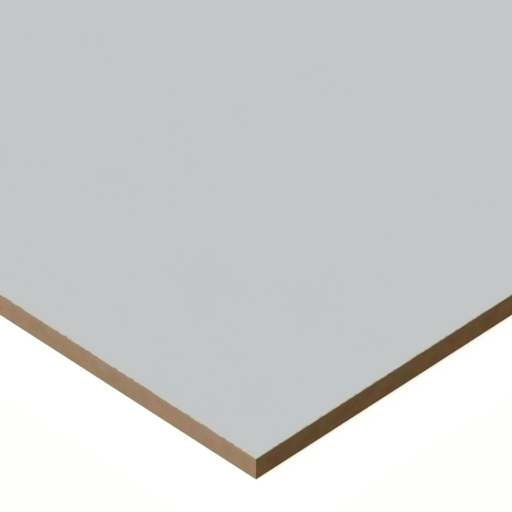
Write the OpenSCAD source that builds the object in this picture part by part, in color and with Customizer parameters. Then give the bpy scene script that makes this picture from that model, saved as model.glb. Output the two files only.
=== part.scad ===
// Melamine-faced MDF sheet.
// A pressed core of wood fibre with a thin melamine facing bonded to each broad
// side. All four edges are sawn square and left bare, so the brown core shows
// between the facings. The sheet lies flat: X along its length, Y across its
// width, and Z up from the middle of its underside.

/* [Sheet] */
// Length of the sheet, mm
sheet_length = 2440; // [600:10:3660]
// Width of the sheet, mm
sheet_width = 1220; // [300:10:2070]
// Thickness over both facings, mm
sheet_thickness = 18; // [6, 9, 12, 15, 16, 18, 19, 22, 25, 30]

/* [Facings] */
// Thickness of one melamine facing, mm
facing_thickness = 0.2; // [0.1:0.05:1]
// Colour of both facings
facing_colour = "#C3C7C8"; // [#C3C7C8:Light grey, #F3F3EF:White, #4A4D50:Dark grey]

/* [Core] */
// Colour of the sawn fibreboard
core_colour = "#9D8065"; // [#9D8065:Standard brown, #6F8A62:Moisture-resistant green]

/* [Hidden] */
core_thickness = sheet_thickness - 2 * facing_thickness;
core_base = facing_thickness;
top_facing_base = core_base + core_thickness;

// One flat layer of the sheet, as long and wide as the sheet, with its lower
// side at height base
module layer(base, thickness) {
    translate([-sheet_length / 2, -sheet_width / 2, base])
        cube([sheet_length, sheet_width, thickness]);
}

// Fibreboard between the facings, sawn square on all four edges
module mdf_core() {
    color(core_colour) layer(core_base, core_thickness);
}

// Melamine facing on the upper side
module top_facing() {
    color(facing_colour) layer(top_facing_base, facing_thickness);
}

// Melamine facing on the underside, which balances the upper one so that the
// sheet stays flat
module bottom_facing() {
    color(facing_colour) layer(0, facing_thickness);
}

mdf_core();
top_facing();
bottom_facing();
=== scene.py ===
"""Finished looks of a melamine-faced MDF sheet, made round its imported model.

The sheet is a pressed fibreboard core between two thin melamine facings. Its
four edges are sawn and bare. Each layer is modelled with the marks that the
saw left on it, and the stage holds the floor, the lights and the camera.
"""

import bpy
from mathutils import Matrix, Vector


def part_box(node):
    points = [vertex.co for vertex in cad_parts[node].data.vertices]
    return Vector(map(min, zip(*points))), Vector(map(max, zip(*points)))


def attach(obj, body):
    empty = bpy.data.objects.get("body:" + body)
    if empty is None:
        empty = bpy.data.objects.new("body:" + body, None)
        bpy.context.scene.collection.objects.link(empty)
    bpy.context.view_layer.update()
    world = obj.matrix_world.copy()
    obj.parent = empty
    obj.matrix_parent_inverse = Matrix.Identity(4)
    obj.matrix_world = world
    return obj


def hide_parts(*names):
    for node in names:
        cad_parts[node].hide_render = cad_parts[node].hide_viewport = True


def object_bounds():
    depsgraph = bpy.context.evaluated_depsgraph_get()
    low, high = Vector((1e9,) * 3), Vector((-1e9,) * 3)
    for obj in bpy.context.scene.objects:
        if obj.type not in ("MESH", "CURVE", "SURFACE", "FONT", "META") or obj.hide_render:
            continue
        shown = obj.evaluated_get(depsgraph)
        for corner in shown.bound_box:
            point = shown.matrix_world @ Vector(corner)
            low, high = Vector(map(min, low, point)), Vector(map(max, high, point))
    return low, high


bl_info = {
    "name": "Melamine Board",
    "version": (1, 0, 0),
    "blender": (4, 5, 0),
    "location": "View3D > Sidebar > Melamine Board",
    "description": "Makes a melamine-faced MDF sheet with bare sawn edges",
    "category": "Add Mesh",
}

import math

import bmesh
import bpy
from mathutils import Vector, noise

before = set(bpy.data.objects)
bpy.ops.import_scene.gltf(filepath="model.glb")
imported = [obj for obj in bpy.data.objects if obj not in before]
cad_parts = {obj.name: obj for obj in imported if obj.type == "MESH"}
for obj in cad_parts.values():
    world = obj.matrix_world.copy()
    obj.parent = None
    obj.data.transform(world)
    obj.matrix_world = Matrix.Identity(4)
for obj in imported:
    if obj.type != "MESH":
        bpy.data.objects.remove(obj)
CAD_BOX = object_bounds()
SHEET_LOW, SHEET_HIGH = CAD_BOX
SHEET_BODY = "root"
MM = 0.001


def from_hex(text):
    """An sRGB hex colour such as #C3C7C8 as linear red, green and blue."""
    channels = [int(text[i:i + 2], 16) / 255 for i in (1, 3, 5)]
    return [c / 12.92 if c <= 0.04045 else ((c + 0.055) / 1.055) ** 2.4 for c in channels]


# ---------------------------------------------------------------- settings


class SheetSettings(bpy.types.PropertyGroup):
    """Finish of the sheet and how its sawn edges came out."""

    facing_colour: bpy.props.FloatVectorProperty(
        name="Facing Colour",
        description="Colour of the melamine facings",
        subtype="COLOR",
        size=3,
        min=0.0,
        max=1.0,
        default=from_hex("#C3C7C8"),
    )
    facing_roughness: bpy.props.FloatProperty(
        name="Facing Roughness",
        description="Roughness of the satin melamine",
        min=0.1,
        max=1.0,
        default=0.42,
    )
    core_colour: bpy.props.FloatVectorProperty(
        name="Core Colour",
        description="Mean colour of the sawn fibreboard",
        subtype="COLOR",
        size=3,
        min=0.0,
        max=1.0,
        default=from_hex("#A08468"),
    )
    chip_length: bpy.props.FloatProperty(
        name="Chip Length",
        description="Length of the longer chips that the saw broke out of a facing",
        subtype="DISTANCE",
        unit="LENGTH",
        min=0.5 * MM,
        max=10 * MM,
        default=4.0 * MM,
    )
    chip_depth: bpy.props.FloatProperty(
        name="Chip Depth",
        description="How far the deepest chips reach in from the rubbed arris",
        subtype="DISTANCE",
        unit="LENGTH",
        min=0.0,
        max=1.5 * MM,
        default=0.85 * MM,
    )
    chip_rarity: bpy.props.FloatProperty(
        name="Chip Rarity",
        description="0 chips about half of the arris, and higher values leave more of it clean",
        min=0.0,
        max=0.6,
        default=0.02,
    )
    arris_wear: bpy.props.FloatProperty(
        name="Arris Wear",
        description="How far the arrises of the facings are rubbed back by handling",
        subtype="DISTANCE",
        unit="LENGTH",
        min=0.0,
        max=0.5 * MM,
        default=0.4 * MM,
    )
    saw_waviness: bpy.props.FloatProperty(
        name="Saw Waviness",
        description="How far the sawn edges wander in from true",
        subtype="DISTANCE",
        unit="LENGTH",
        min=0.0,
        max=0.5 * MM,
        default=0.12 * MM,
    )


class StudioSettings(bpy.types.PropertyGroup):
    """Camera, lights and floor."""

    camera_azimuth: bpy.props.FloatProperty(
        name="Camera Azimuth",
        description="Direction of view round the sheet, from the middle of its long edge",
        subtype="ANGLE",
        default=math.radians(45.0),
    )
    camera_elevation: bpy.props.FloatProperty(
        name="Camera Elevation",
        description="Height of the view above the horizon",
        subtype="ANGLE",
        default=math.radians(39.31),
    )
    camera_distance: bpy.props.FloatProperty(
        name="Camera Distance",
        description="Distance from the camera to what it looks at",
        subtype="DISTANCE",
        unit="LENGTH",
        min=1.0,
        default=12.0,
    )
    view_width: bpy.props.FloatProperty(
        name="View Width",
        description="Width of what the camera sees of the sheet",
        subtype="DISTANCE",
        unit="LENGTH",
        min=0.05,
        default=0.346,
    )
    corner_inset: bpy.props.FloatProperty(
        name="Corner Inset",
        description="Distance from the sheet's front right corner, on its bisector, to the camera's aim",
        subtype="DISTANCE",
        unit="LENGTH",
        min=0.0,
        default=0.2137,
    )
    key_elevation: bpy.props.FloatProperty(
        name="Key Elevation",
        description="Height of the key light above the horizon",
        subtype="ANGLE",
        default=math.radians(46.0),
    )
    key_level: bpy.props.FloatProperty(
        name="Key Level",
        description="Light that a surface square to the key gets, where 1 shows its colour as it is",
        min=0.0,
        default=0.963,
    )
    key_spread: bpy.props.FloatProperty(
        name="Key Spread",
        description="Angle that the key light spans, which softens its shadows",
        subtype="ANGLE",
        default=math.radians(12.0),
    )
    key_colour: bpy.props.FloatVectorProperty(
        name="Key Colour",
        description="Tint of the key light",
        subtype="COLOR",
        size=3,
        min=0.0,
        max=2.0,
        default=(0.962, 1.014, 1.131),
    )
    fill_level: bpy.props.FloatProperty(
        name="Fill Level",
        description="Light that comes evenly from all round",
        min=0.0,
        default=0.26,
    )
    fill_colour: bpy.props.FloatVectorProperty(
        name="Fill Colour",
        description="Tint of the light from all round",
        subtype="COLOR",
        size=3,
        min=0.0,
        max=2.0,
        default=(1.10, 0.965, 0.65),
    )
    floor_radius: bpy.props.FloatProperty(
        name="Floor Radius",
        description="Radius of the round floor",
        subtype="DISTANCE",
        unit="LENGTH",
        min=2.0,
        default=40.0,
    )


# ---------------------------------------------------------------- materials


def add_node(tree, kind, inputs=None, **settings):
    """Adds a node with these settings. Each input is a value, or an output to link from."""
    node = tree.nodes.new(kind)
    for name, value in settings.items():
        setattr(node, name, value)
    for key, value in (inputs or {}).items():
        if isinstance(value, bpy.types.NodeSocket):
            tree.links.new(value, node.inputs[key])
        else:
            node.inputs[key].default_value = value
    return node


def new_material(name):
    """An empty material and its node tree."""
    material = bpy.data.materials.new(name)
    material.use_nodes = True
    material.node_tree.nodes.clear()
    return material, material.node_tree


def rgba(colour, gain=1.0):
    """A linear colour, made lighter or darker by gain, with full alpha."""
    return [min(channel * gain, 1.0) for channel in colour] + [1.0]


def insets(tree, place):
    """How far in a place lies from the nearer short edge, and from the nearer long one.

    The sheet's origin is in its middle, so each pair of edges lies as far off on either side.
    """
    off_centre = add_node(tree, "ShaderNodeVectorMath", {0: place}, operation="ABSOLUTE")
    inset = add_node(
        tree,
        "ShaderNodeVectorMath",
        {0: SHEET_HIGH, 1: off_centre.outputs["Vector"]},
        operation="SUBTRACT",
    )
    parts = add_node(tree, "ShaderNodeSeparateXYZ", {"Vector": inset.outputs["Vector"]})
    return parts.outputs["X"], parts.outputs["Y"]


def nearest_inset(tree, place):
    """How far in from the nearest edge a place lies, and less than 0 beside the sheet."""
    from_short, from_long = insets(tree, place)
    return add_node(
        tree, "ShaderNodeMath", {0: from_short, 1: from_long}, operation="MINIMUM"
    ).outputs[0]


def crazing(tree, place):
    """Share of the decor that is crazed: most along the edges, and none a few millimetres in."""
    reach = 6 * MM
    closeness = add_node(
        tree,
        "ShaderNodeMapRange",
        {"Value": nearest_inset(tree, place), "From Max": reach, "To Min": 1.0, "To Max": 0.0},
    )
    # Above 1, this thins the crazing out more quickly near the edge than further in
    thinning = 1.5
    fall = add_node(
        tree,
        "ShaderNodeMath",
        {0: closeness.outputs["Result"], 1: thinning},
        operation="POWER",
    )
    # Patches about 7 mm wide, crazed more or less
    patches = add_node(
        tree, "ShaderNodeTexNoise", {"Vector": place, "Scale": 1 / (7 * MM), "Detail": 3.0}
    )
    depth = add_node(
        tree,
        "ShaderNodeMapRange",
        {
            "Value": patches.outputs["Fac"],
            "From Min": 0.3,
            "From Max": 0.7,
            "To Min": 0.25,
            "To Max": 0.85,
        },
    )
    return add_node(
        tree,
        "ShaderNodeMath",
        {0: fall.outputs[0], 1: depth.outputs["Result"]},
        operation="MULTIPLY",
    ).outputs[0]


def melamine_satin(settings):
    """Satin melamine: decor paper pressed in clear resin against a finely textured steel plate.

    It shows one even cool grey with a soft, slightly broken sheen.
    """
    material, tree = new_material("melamine_satin")
    place = add_node(tree, "ShaderNodeTexCoord").outputs["Object"]
    # Clouds of resin that soaked in a little unevenly, a hand's breadth wide
    clouds = add_node(
        tree, "ShaderNodeTexNoise", {"Vector": place, "Scale": 1 / (90 * MM), "Detail": 2.0}
    )
    swing = 0.006
    darker = rgba(settings.facing_colour, 1 - swing)
    lighter = rgba(settings.facing_colour, 1 + swing)
    tone = add_node(
        tree,
        "ShaderNodeMix",
        {"Factor": clouds.outputs["Fac"], 6: darker, 7: lighter},
        data_type="RGBA",
    )
    # The saw crazes the decor along the edges, and the cream paper under it shows through
    rimmed = add_node(
        tree,
        "ShaderNodeMix",
        {"Factor": crazing(tree, place), 6: tone.outputs[2], 7: rgba(from_hex("#CFC2A0"))},
        data_type="RGBA",
    )
    # The plate's pearl grain is about 0.3 mm. It is drawn at 1.2 mm, which still shows.
    pearl = add_node(
        tree, "ShaderNodeTexNoise", {"Vector": place, "Scale": 1 / (1.2 * MM), "Detail": 2.0}
    )
    relief = add_node(
        tree,
        "ShaderNodeBump",
        {"Height": pearl.outputs["Fac"], "Strength": 0.5, "Distance": 0.012 * MM},
    )
    # Handling has polished some places and dulled others, about 25 mm across
    rubbed = add_node(
        tree, "ShaderNodeTexNoise", {"Vector": place, "Scale": 1 / (25 * MM), "Detail": 3.0}
    )
    rub = 0.05
    roughness = add_node(
        tree,
        "ShaderNodeMapRange",
        {
            "Value": rubbed.outputs["Fac"],
            "To Min": settings.facing_roughness - rub,
            "To Max": settings.facing_roughness + rub,
        },
    )
    surface = add_node(
        tree,
        "ShaderNodeBsdfPrincipled",
        {
            "Base Color": rimmed.outputs[2],
            "Roughness": roughness.outputs["Result"],
            "Normal": relief.outputs["Normal"],
            "IOR": 1.5,
        },
    )
    add_node(tree, "ShaderNodeOutputMaterial", {"Surface": surface.outputs["BSDF"]})
    return material


def sawn_facing_edge():
    """Sawn edge of the facing: resin and paper broken by the teeth.

    It shows as a thin pale line between the grey face and the brown core.
    """
    material, tree = new_material("sawn_facing_edge")
    place = add_node(tree, "ShaderNodeTexCoord").outputs["Object"]
    # Torn paper and resin take turns about every 0.8 mm along the edge
    crumbs = add_node(
        tree, "ShaderNodeTexNoise", {"Vector": place, "Scale": 1 / (0.8 * MM), "Detail": 2.0}
    )
    paper, resin = rgba(from_hex("#A89A86")), rgba(from_hex("#C6BAA8"))
    tone = add_node(
        tree,
        "ShaderNodeMix",
        {"Factor": crumbs.outputs["Fac"], 6: paper, 7: resin},
        data_type="RGBA",
    )
    surface = add_node(
        tree,
        "ShaderNodeBsdfPrincipled",
        {"Base Color": tone.outputs[2], "Roughness": 0.75, "IOR": 1.5},
    )
    add_node(tree, "ShaderNodeOutputMaterial", {"Surface": surface.outputs["BSDF"]})
    return material


def felted_fibre(tree, place):
    """Noise of short fibre bundles, 1 to 3 mm long, all lying flat."""
    length = 2.2 * MM
    # Bundles are a few tenths of a millimetre thick. They are drawn thicker, which still shows.
    thickness = 0.8 * MM
    flattened = add_node(
        tree,
        "ShaderNodeMapping",
        {"Vector": place, "Scale": (1 / length, 1 / length, 1 / thickness)},
    )
    return add_node(
        tree,
        "ShaderNodeTexNoise",
        {"Vector": flattened.outputs["Vector"], "Scale": 1.0, "Detail": 3.0, "Roughness": 0.65},
    ).outputs["Fac"]


def scorching(tree, place):
    """How much stronger the saw's heat makes the clouds. The slow cross-cut scorches the ends."""
    # The cut wanders less than this from the sheet's ends
    end_surface = 0.3 * MM
    on_ends, on_sides = 1.9, 1.0
    from_short, _ = insets(tree, place)
    return add_node(
        tree,
        "ShaderNodeMapRange",
        {
            "Value": from_short,
            "From Min": end_surface,
            "From Max": end_surface + 0.1 * MM,
            "To Min": on_ends,
            "To Max": on_sides,
        },
    ).outputs["Result"]


def mat_clouds(tree, place):
    """A factor on the colour: clouds where the mat holds more heartwood, sapwood or resin."""
    # Clouds about 12 mm wide
    clouds = add_node(
        tree, "ShaderNodeTexNoise", {"Vector": place, "Scale": 1 / (12 * MM), "Detail": 3.0}
    )
    # Part of the swing is shared, so a cloud is lighter or darker as well as redder or greener
    shared = add_node(
        tree,
        "ShaderNodeMix",
        {"Factor": 0.35, 6: clouds.outputs["Color"], 7: clouds.outputs["Fac"]},
        data_type="RGBA",
    )
    # The whole swing of red, green and blue
    swing = Vector((0.50, 0.61, 1.04))
    centred = add_node(
        tree,
        "ShaderNodeVectorMath",
        {0: shared.outputs[2], 1: swing, 2: -swing / 2},
        operation="MULTIPLY_ADD",
    )
    scorched = add_node(
        tree,
        "ShaderNodeVectorMath",
        {0: centred.outputs["Vector"], "Scale": scorching(tree, place)},
        operation="SCALE",
    )
    return add_node(
        tree,
        "ShaderNodeVectorMath",
        {0: scorched.outputs["Vector"], 1: Vector((1, 1, 1))},
        operation="ADD",
    ).outputs["Vector"]


def clouded_felt(tree, place, fibre, colour):
    """Colour of the pressed fibre: streaks, then soft clouds, then a few specks of bark."""
    streaks = add_node(tree, "ShaderNodeValToRGB", {"Fac": fibre})
    thin, thick = streaks.color_ramp.elements
    thin.position, thin.color = 0.25, rgba(colour, 0.89)
    thick.position, thick.color = 0.75, rgba(colour, 1.11)
    clouded = add_node(
        tree,
        "ShaderNodeMix",
        {"Factor": 1.0, 6: streaks.outputs["Color"], 7: mat_clouds(tree, place)},
        data_type="RGBA",
        blend_type="MULTIPLY",
    )
    # Bark specks are 0.5 mm across. They are drawn at 1 mm, which still shows.
    specks = add_node(
        tree, "ShaderNodeTexNoise", {"Vector": place, "Scale": 1 / (1 * MM), "Detail": 1.0}
    )
    # Only the noise's few highest peaks are bark, and it half covers the fibre
    bark = add_node(
        tree,
        "ShaderNodeMapRange",
        {"Value": specks.outputs["Fac"], "From Min": 0.68, "From Max": 0.76, "To Max": 0.5},
    )
    return add_node(
        tree,
        "ShaderNodeMix",
        {"Factor": bark.outputs["Result"], 6: clouded.outputs[2], 7: rgba(colour, 0.35)},
        data_type="RGBA",
    ).outputs[2]


def dense_skin(tree, place, inner, outer, felt, skin):
    """The felt's colour, turning to a skin's colour from one height in the board to another."""
    # The press makes the board densest at the face, where a trace of the felt's colour is left
    densest, gathering = 0.92, 1.5
    height = add_node(tree, "ShaderNodeSeparateXYZ", {"Vector": place}).outputs["Z"]
    ramp = add_node(
        tree,
        "ShaderNodeMapRange",
        {"Value": height, "From Min": inner, "From Max": outer, "To Max": densest},
    )
    density = add_node(
        tree, "ShaderNodeMath", {0: ramp.outputs["Result"], 1: gathering}, operation="POWER"
    )
    return add_node(
        tree,
        "ShaderNodeMix",
        {"Factor": density.outputs[0], 6: felt, 7: rgba(from_hex(skin))},
        data_type="RGBA",
    ).outputs[2]


def sawn_relief(tree, place, fibre):
    """Normal of the sawn edge: nap, and tooth marks every 3 mm that lean as a round blade cuts."""
    # One of x and y is constant on each edge, so their sum runs along it. A mark leans this
    # far along the edge for each unit of its height.
    lean = 0.35
    run = add_node(
        tree, "ShaderNodeVectorMath", {0: place, 1: (1.0, 1.0, lean)}, operation="DOT_PRODUCT"
    )
    along = add_node(tree, "ShaderNodeCombineXYZ", {"X": run.outputs["Value"]})
    teeth = add_node(
        tree,
        "ShaderNodeTexNoise",
        {"Vector": along.outputs["Vector"], "Scale": 1 / (3 * MM), "Detail": 2.0},
    )
    tooth_marks = add_node(
        tree,
        "ShaderNodeBump",
        {"Height": teeth.outputs["Fac"], "Strength": 0.6, "Distance": 0.15 * MM},
    )
    nap = add_node(
        tree,
        "ShaderNodeBump",
        {
            "Height": fibre,
            "Strength": 0.35,
            "Distance": 0.12 * MM,
            "Normal": tooth_marks.outputs["Normal"],
        },
    )
    return nap.outputs["Normal"]


def sawn_fibreboard(settings, low, high):
    """Sawn MDF: fine wood fibre pressed flat with resin and cut square by a circular saw.

    It shows as warm brown felt with short fibres lying flat, soft olive and reddish
    clouds, a few dark specks, greyer dense skins and shallow slanting tooth marks.
    """
    material, tree = new_material("sawn_fibreboard")
    place = add_node(tree, "ShaderNodeTexCoord").outputs["Object"]
    fibre = felted_fibre(tree, place)
    colour = clouded_felt(tree, place, fibre, settings.core_colour)
    # The denser skins near both faces come out greyer. The lower skin is made thinner and darker than
    # the upper one: painted shade along the foot of the edge, where it meets the floor
    colour = dense_skin(tree, place, high.z - 7 * MM, high.z, colour, "#9C8D7D")
    colour = dense_skin(tree, place, low.z + 5 * MM, low.z, colour, "#908778")
    surface = add_node(
        tree,
        "ShaderNodeBsdfPrincipled",
        {
            "Base Color": colour,
            "Roughness": 0.95,
            "Specular IOR Level": 0.1,
            "IOR": 1.5,
            "Normal": sawn_relief(tree, place, fibre),
        },
    )
    add_node(tree, "ShaderNodeOutputMaterial", {"Surface": surface.outputs["BSDF"]})
    return material


# ---------------------------------------------------------------- the sheet's layers


def cut_plane(bm, place, normal):
    """Cuts the whole layer across at a plane and keeps both sides."""
    geometry = bm.verts[:] + bm.edges[:] + bm.faces[:]
    bmesh.ops.bisect_plane(bm, geom=geometry, plane_co=place, plane_no=normal)


def divide_edges(bm, edges, step):
    """Divides each edge into equal lengths of about step."""
    by_parts = {}
    for edge in edges:
        by_parts.setdefault(round(edge.calc_length() / step), []).append(edge)
    for parts, alike in by_parts.items():
        if parts > 1:
            bmesh.ops.subdivide_edges(
                bm, edges=alike, cuts=parts - 1, use_grid_fill=True, use_single_edge=True
            )


def edges_near_rim(bm, low, high, reach):
    """The level edges that run along the rim, no further in than reach."""
    found = []
    for edge in bm.edges:
        start, run = edge.verts[0].co, edge.verts[1].co - edge.verts[0].co
        for along, side in ((0, 1), (1, 0)):
            inset = min(start[side] - low[side], high[side] - start[side])
            if abs(run[along]) > 0.99 * run.length and inset < reach:
                found.append(edge)
    return found


def layer_blank(low, high, band, step):
    """A layer between two corners, with its rim divided into steps for the saw's marks.

    The broad faces are plain cells. A narrow band round them, in short quads, keeps the
    triangles that fan out to the rim's steps from growing thin or folding over in a chip.
    """
    bm = bmesh.new()
    bmesh.ops.create_cube(bm, size=1.0)
    bmesh.ops.scale(bm, vec=high - low, verts=bm.verts)
    bmesh.ops.translate(bm, vec=(low + high) / 2, verts=bm.verts)
    # Divides the length and the width of a full sheet
    cell = 61 * MM
    for axis in (0, 1):
        normal = Vector((0, 0, 0))
        normal[axis] = 1
        length = (high - low)[axis]
        cells = round(length / cell)
        offsets = [band, length - band]
        offsets += [length * i / cells for i in range(1, cells)]
        for offset in offsets:
            cut_plane(bm, low + normal * offset, normal)
    # Keeps rounding from leaving an edge out
    hair = 0.01 * band
    divide_edges(bm, edges_near_rim(bm, low, high, band + hair), band)
    divide_edges(bm, edges_near_rim(bm, low, high, hair), step)
    return bm


def into_sheet(place, low, high):
    """The way in from the sawn edges that a place lies on, as a vector of -1, 0 and 1."""
    near = 1e-6
    return Vector((
        (place.x < low.x + near) - (place.x > high.x - near),
        (place.y < low.y + near) - (place.y > high.y - near),
        0,
    ))


def lay_bake_map(bm, low, high, rows, edge_share, top_share):
    """Lays the layer out flat on its own map, for materials that are baked into pictures.

    The long thin edges are folded into rows at the foot of the map. The underside and the
    top are pressed into the shares of the map that are left above them.
    """
    layer = bm.loops.layers.uv.new("OFBake")
    size = high - low
    row_length = 2 * (size.x + size.y) / rows
    margin = 0.004
    row_gap = 0.06
    for face in bm.faces:
        normal, centre = face.normal, face.calc_center_median()
        if abs(normal.z) > 0.5:
            foot = 1 - top_share if normal.z > 0 else edge_share
            share = top_share if normal.z > 0 else 1 - top_share - edge_share
            for loop in face.loops:
                along = (loop.vert.co.x - low.x) / size.x
                across = (loop.vert.co.y - low.y) / size.y
                loop[layer].uv = (
                    margin + (1 - 2 * margin) * along,
                    foot + margin + (share - 2 * margin) * across,
                )
            continue
        row = int(distance_round(centre, normal, low, high) / row_length)
        for loop in face.loops:
            along = distance_round(loop.vert.co, normal, low, high) / row_length - row
            rise = (loop.vert.co.z - low.z) / size.z
            loop[layer].uv = (
                margin + (1 - 2 * margin) * along,
                edge_share * (row + row_gap + (1 - 2 * row_gap) * rise) / rows,
            )


def distance_round(place, normal, low, high):
    """How far round the sheet a place on a sawn edge lies, from the front left corner."""
    size = high - low
    if normal.y < -0.5:
        return place.x - low.x
    if normal.x > 0.5:
        return size.x + place.y - low.y
    if normal.y > 0.5:
        return size.x + size.y + high.x - place.x
    return 2 * size.x + size.y + high.y - place.y


def finish_piece(bm, name, materials, node):
    """Makes the bmesh a piece that rides on the sheet and stands for a CAD node."""
    crisp = math.radians(30)
    for face in bm.faces:
        face.smooth = True
    for edge in bm.edges:
        edge.smooth = edge.calc_face_angle(0.0) < crisp
    mesh = bpy.data.meshes.new(name)
    bm.to_mesh(mesh)
    bm.free()
    for material in materials:
        mesh.materials.append(material)
    piece = bpy.data.objects.new(name, mesh)
    bpy.context.scene.collection.objects.link(piece)
    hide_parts(node)
    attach(piece, SHEET_BODY)
    return piece


def slantwise(place):
    """Where noise is read for a place, so that it is as strong on every edge of the sheet.

    Noise is weaker along the axes of its grid, and the edges run along them. The place is
    turned through an eighth of a circle and drawn out by the root of 2 along x and y, so a
    pattern comes out that much smaller than the size it is given.
    """
    return Vector((place.x - place.y, place.x + place.y, place.z))


def corner_gap(place, low, high):
    """How far a place on a sawn edge lies from the nearest corner of the layer."""
    return max(min(place[axis] - low[axis], high[axis] - place[axis]) for axis in (0, 1))


def chip_bite(place, settings):
    """How far in a chip reaches at a place on a facing's arris."""
    spot = slantwise(place)
    # Size and weight of the chips, of their ragged outlines, and of rougher and cleaner stretches
    layers = (
        (settings.chip_length, 1.0),
        (0.25 * settings.chip_length, 0.6),
        (70 * MM, 0.15),
    )
    bite = sum(weight * noise.noise(spot / size) for size, weight in layers)
    # The bite at which a chip reaches its full depth
    deepest = 0.8
    share = max(0.0, bite - settings.chip_rarity) / (deepest - settings.chip_rarity)
    # The root makes the chip's ends steep and its bottom flat
    return settings.chip_depth * math.sqrt(min(share, 1.0))


def make_facing(name, node, outside, materials, settings):
    """One facing. Its sawn arris is chipped, most on the outside and less where it meets the core.

    outside is 1 for the upper facing and -1 for the lower one.
    """
    low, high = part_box(node)
    outer_height = high.z if outside > 0 else low.z
    bm = layer_blank(low, high, band=3.2 * MM, step=0.5 * MM)
    # The side that is seen gets most of the map, and the side bonded to the core gets little
    top_share = 0.92 if outside > 0 else 0.04
    lay_bake_map(bm, low, high, rows=4, edge_share=0.04, top_share=top_share)
    for face in bm.faces:
        face.material_index = int(abs(face.normal.z) < 0.5)
    # What is left of a chip where the facing meets the core
    inner_share = 0.85
    whole_corner = 6 * MM
    for vert in bm.verts:
        way_in = into_sheet(vert.co, low, high)
        if way_in.length == 0:
            continue
        arris = Vector((vert.co.x, vert.co.y, outer_height))
        # Chips die out towards the corners, where two of them would run into each other
        wholeness = min(corner_gap(arris, low, high) / whole_corner, 1.0)
        bite = wholeness * chip_bite(arris, settings)
        is_outer = abs(vert.co.z - outer_height) < (high.z - low.z) / 2
        vert.co += way_in * (settings.arris_wear + bite if is_outer else inner_share * bite)
    return finish_piece(bm, name, materials, node)


class MELAMINE_BOARD_OT_facings(bpy.types.Operator):
    """Make the two melamine facings, with the small chips that the saw left along their arrises"""

    bl_idname = "melamine_board.facings"
    bl_label = "Melamine Facings"

    def execute(self, context):
        settings = context.scene.sheet_settings
        materials = [melamine_satin(settings), sawn_facing_edge()]
        make_facing("top_melamine", "top_facing", 1, materials, settings)
        make_facing("bottom_melamine", "bottom_facing", -1, materials, settings)
        return {"FINISHED"}


def saw_wander(place, settings):
    """How far in the saw's cut lies at a place on a sawn edge."""
    spot = slantwise(place)
    # The sheet drifts against the fence slowly, and the blade flutters quickly
    drift = noise.noise(Vector((spot.x, spot.y, 0)) / (120 * MM))
    flutter = noise.noise(Vector((spot.x, spot.y, spot.z * 2)) / (7 * MM))
    return settings.saw_waviness * min(max(0.4 + 0.5 * drift + 0.5 * flutter, 0.0), 1.0)


class MELAMINE_BOARD_OT_core(bpy.types.Operator):
    """Make the fibreboard core, with edges as wavy as a panel saw leaves them"""

    bl_idname = "melamine_board.core"
    bl_label = "Fibreboard Core"

    def execute(self, context):
        settings = context.scene.sheet_settings
        low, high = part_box("mdf_core")
        bm = layer_blank(low, high, band=6 * MM, step=2 * MM)
        upright = [edge for edge in bm.edges if edge.verts[0].co.z != edge.verts[1].co.z]
        divide_edges(bm, upright, step=2.2 * MM)
        # Only the edges are seen, so they get nearly all of the map
        lay_bake_map(bm, low, high, rows=20, edge_share=0.94, top_share=0.03)
        for vert in bm.verts:
            way_in = into_sheet(vert.co, low, high)
            if way_in.length > 0:
                vert.co += way_in * saw_wander(vert.co, settings)
        material = sawn_fibreboard(settings, low, high)
        finish_piece(bm, "sawn_core", [material], "mdf_core")
        return {"FINISHED"}


# ---------------------------------------------------------------- the stage


def seen_rays(tree):
    """1 for the rays that show the stage itself, seen straight, in a reflection or through glass."""
    rays = add_node(tree, "ShaderNodeLightPath")
    straight_or_glossy = add_node(
        tree,
        "ShaderNodeMath",
        {0: rays.outputs["Is Camera Ray"], 1: rays.outputs["Is Glossy Ray"]},
        operation="MAXIMUM",
    )
    return add_node(
        tree,
        "ShaderNodeMath",
        {0: straight_or_glossy.outputs[0], 1: rays.outputs["Is Transmission Ray"]},
        operation="MAXIMUM",
    ).outputs[0]


def paper_floor():
    """Pale matt studio paper. It is seen nearly white and sends little light back up."""
    material, tree = new_material("studio_paper")
    seen = seen_rays(tree)
    place = add_node(tree, "ShaderNodeTexCoord").outputs["Object"]
    # Beside the sheet the paper is tinted warm: painted bounce light from the sheet's brown edges. From
    # about 5 to 48 mm off it is white, and from 70 mm on it has a trace of ivory.
    ivory_from = 70 * MM
    away = add_node(
        tree,
        "ShaderNodeMapRange",
        {"Value": nearest_inset(tree, place), "From Min": 0.0, "From Max": -ivory_from},
    )
    pale = add_node(tree, "ShaderNodeValToRGB", {"Fac": away.outputs["Result"]})
    # The first stop is painted warm bounce light next to the sheet's edges
    painted_bounce, far_off = pale.color_ramp.elements
    painted_bounce.color = rgba(from_hex("#939DA2"))
    far_off.color = rgba(from_hex("#8D9BAC"))
    for distance in (4.9 * MM, 47.6 * MM):
        white = pale.color_ramp.elements.new(distance / ivory_from)
        white.color = rgba(from_hex("#939FB5"))
    colour = add_node(
        tree,
        "ShaderNodeMix",
        {"Factor": seen, 6: rgba(from_hex("#9B8A68")), 7: pale.outputs["Color"]},
        data_type="RGBA",
    )
    # Its own light lifts it to white, and leaves the sheet's shadow faint
    own_light = 0.735
    glow = add_node(tree, "ShaderNodeMath", {0: seen, 1: own_light}, operation="MULTIPLY")
    matt = add_node(tree, "ShaderNodeBsdfDiffuse", {"Color": colour.outputs[2]})
    lift = add_node(
        tree,
        "ShaderNodeEmission",
        {"Color": rgba(from_hex("#FFF7E4")), "Strength": glow.outputs[0]},
    )
    both = add_node(tree, "ShaderNodeAddShader", {0: matt.outputs[0], 1: lift.outputs[0]})
    add_node(tree, "ShaderNodeOutputMaterial", {"Surface": both.outputs[0]})
    return material


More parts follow.
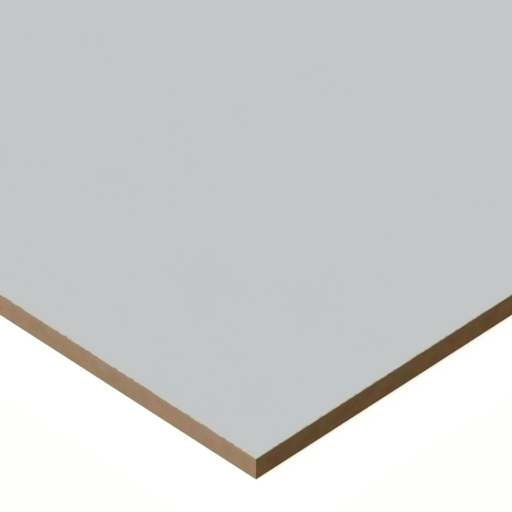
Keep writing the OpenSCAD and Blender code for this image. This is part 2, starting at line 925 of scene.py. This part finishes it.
def make_floor(studio):
    """A round floor that the sheet lies on."""
    bm = bmesh.new()
    bmesh.ops.create_circle(bm, cap_ends=True, segments=96, radius=studio.floor_radius)
    clearance = 0.05 * MM
    bmesh.ops.translate(bm, vec=(0, 0, SHEET_LOW.z - clearance), verts=bm.verts)
    mesh = bpy.data.meshes.new("floor")
    bm.to_mesh(mesh)
    bm.free()
    mesh.materials.append(paper_floor())
    floor = bpy.data.objects.new("floor", mesh)
    bpy.context.scene.collection.objects.link(floor)


def make_world(studio):
    """White all round as it is seen, and a soft even fill as it lights."""
    world = bpy.data.worlds.new("studio_air")
    world.use_nodes = True
    tree = world.node_tree
    tree.nodes.clear()
    fill = [channel * studio.fill_level for channel in studio.fill_colour]
    shade = add_node(
        tree,
        "ShaderNodeMix",
        {"Factor": seen_rays(tree), 6: fill + [1.0], 7: (1, 1, 1, 1)},
        data_type="RGBA",
    )
    background = add_node(
        tree, "ShaderNodeBackground", {"Color": shade.outputs[2], "Strength": 1.0}
    )
    add_node(tree, "ShaderNodeOutputWorld", {"Surface": background.outputs[0]})
    bpy.context.scene.world = world


def aim(thing, back):
    """Turns a lamp or the camera so that it looks along the opposite of back."""
    thing.rotation_euler = back.to_track_quat("Z", "Y").to_euler()


def make_key(studio):
    """A broad key light from the front, square to the long edge, so the end stays in shade."""
    light = bpy.data.lights.new("key", "SUN")
    light.energy = math.pi * studio.key_level
    light.angle = studio.key_spread
    light.color = studio.key_colour
    lamp = bpy.data.objects.new("key", light)
    lamp.visible_glossy = False
    aim(lamp, Vector((0, -math.cos(studio.key_elevation), math.sin(studio.key_elevation))))
    bpy.context.scene.collection.objects.link(lamp)


def make_camera(studio):
    """A long lens looking down on the front right corner."""
    data = bpy.data.cameras.new("camera")
    data.sensor_width = 36.0
    data.lens = data.sensor_width * studio.camera_distance / studio.view_width
    data.clip_end = 1000.0
    camera = bpy.data.objects.new("camera", data)
    level = math.cos(studio.camera_elevation)
    back = Vector((
        math.sin(studio.camera_azimuth) * level,
        -math.cos(studio.camera_azimuth) * level,
        math.sin(studio.camera_elevation),
    ))
    corner = Vector((SHEET_HIGH.x, SHEET_LOW.y, SHEET_HIGH.z))
    inward = Vector((-1, 1, 0)).normalized()
    camera.location = corner + inward * studio.corner_inset + back * studio.camera_distance
    aim(camera, back)
    bpy.context.scene.collection.objects.link(camera)
    bpy.context.scene.camera = camera


class MELAMINE_BOARD_OT_stage(bpy.types.Operator):
    """Make the pale floor, the soft lights and the camera"""

    bl_idname = "melamine_board.stage"
    bl_label = "Studio Stage"

    def execute(self, context):
        studio = context.scene.studio_settings
        make_floor(studio)
        make_world(studio)
        make_key(studio)
        make_camera(studio)
        context.scene.view_settings.view_transform = "Standard"
        return {"FINISHED"}


# ---------------------------------------------------------------- the panel


class MELAMINE_BOARD_PT_sidebar(bpy.types.Panel):
    """Operators and settings in the 3D view's sidebar"""

    bl_idname = "MELAMINE_BOARD_PT_sidebar"
    bl_label = "Melamine Board"
    bl_space_type = "VIEW_3D"
    bl_region_type = "UI"
    bl_category = "Melamine Board"

    def draw(self, context):
        for operator in OPERATORS:
            self.layout.operator(operator.bl_idname)
        for settings in (context.scene.sheet_settings, context.scene.studio_settings):
            box = self.layout.box()
            for name in settings.__annotations__:
                box.prop(settings, name)


OPERATORS = (MELAMINE_BOARD_OT_stage, MELAMINE_BOARD_OT_core, MELAMINE_BOARD_OT_facings)
CLASSES = (SheetSettings, StudioSettings, *OPERATORS, MELAMINE_BOARD_PT_sidebar)


def register():
    """Adds the settings, the operators and the panel to Blender."""
    for cls in CLASSES:
        bpy.utils.register_class(cls)
    bpy.types.Scene.sheet_settings = bpy.props.PointerProperty(type=SheetSettings)
    bpy.types.Scene.studio_settings = bpy.props.PointerProperty(type=StudioSettings)


def unregister():
    """Takes them out again, the last added first."""
    del bpy.types.Scene.studio_settings
    del bpy.types.Scene.sheet_settings
    for cls in reversed(CLASSES):
        bpy.utils.unregister_class(cls)


def main():
    """Makes the stage and the sheet."""
    register()
    bpy.ops.melamine_board.stage()
    bpy.ops.melamine_board.core()
    bpy.ops.melamine_board.facings()
    bpy.context.view_layer.update()


if __name__ == "__main__":
    main()
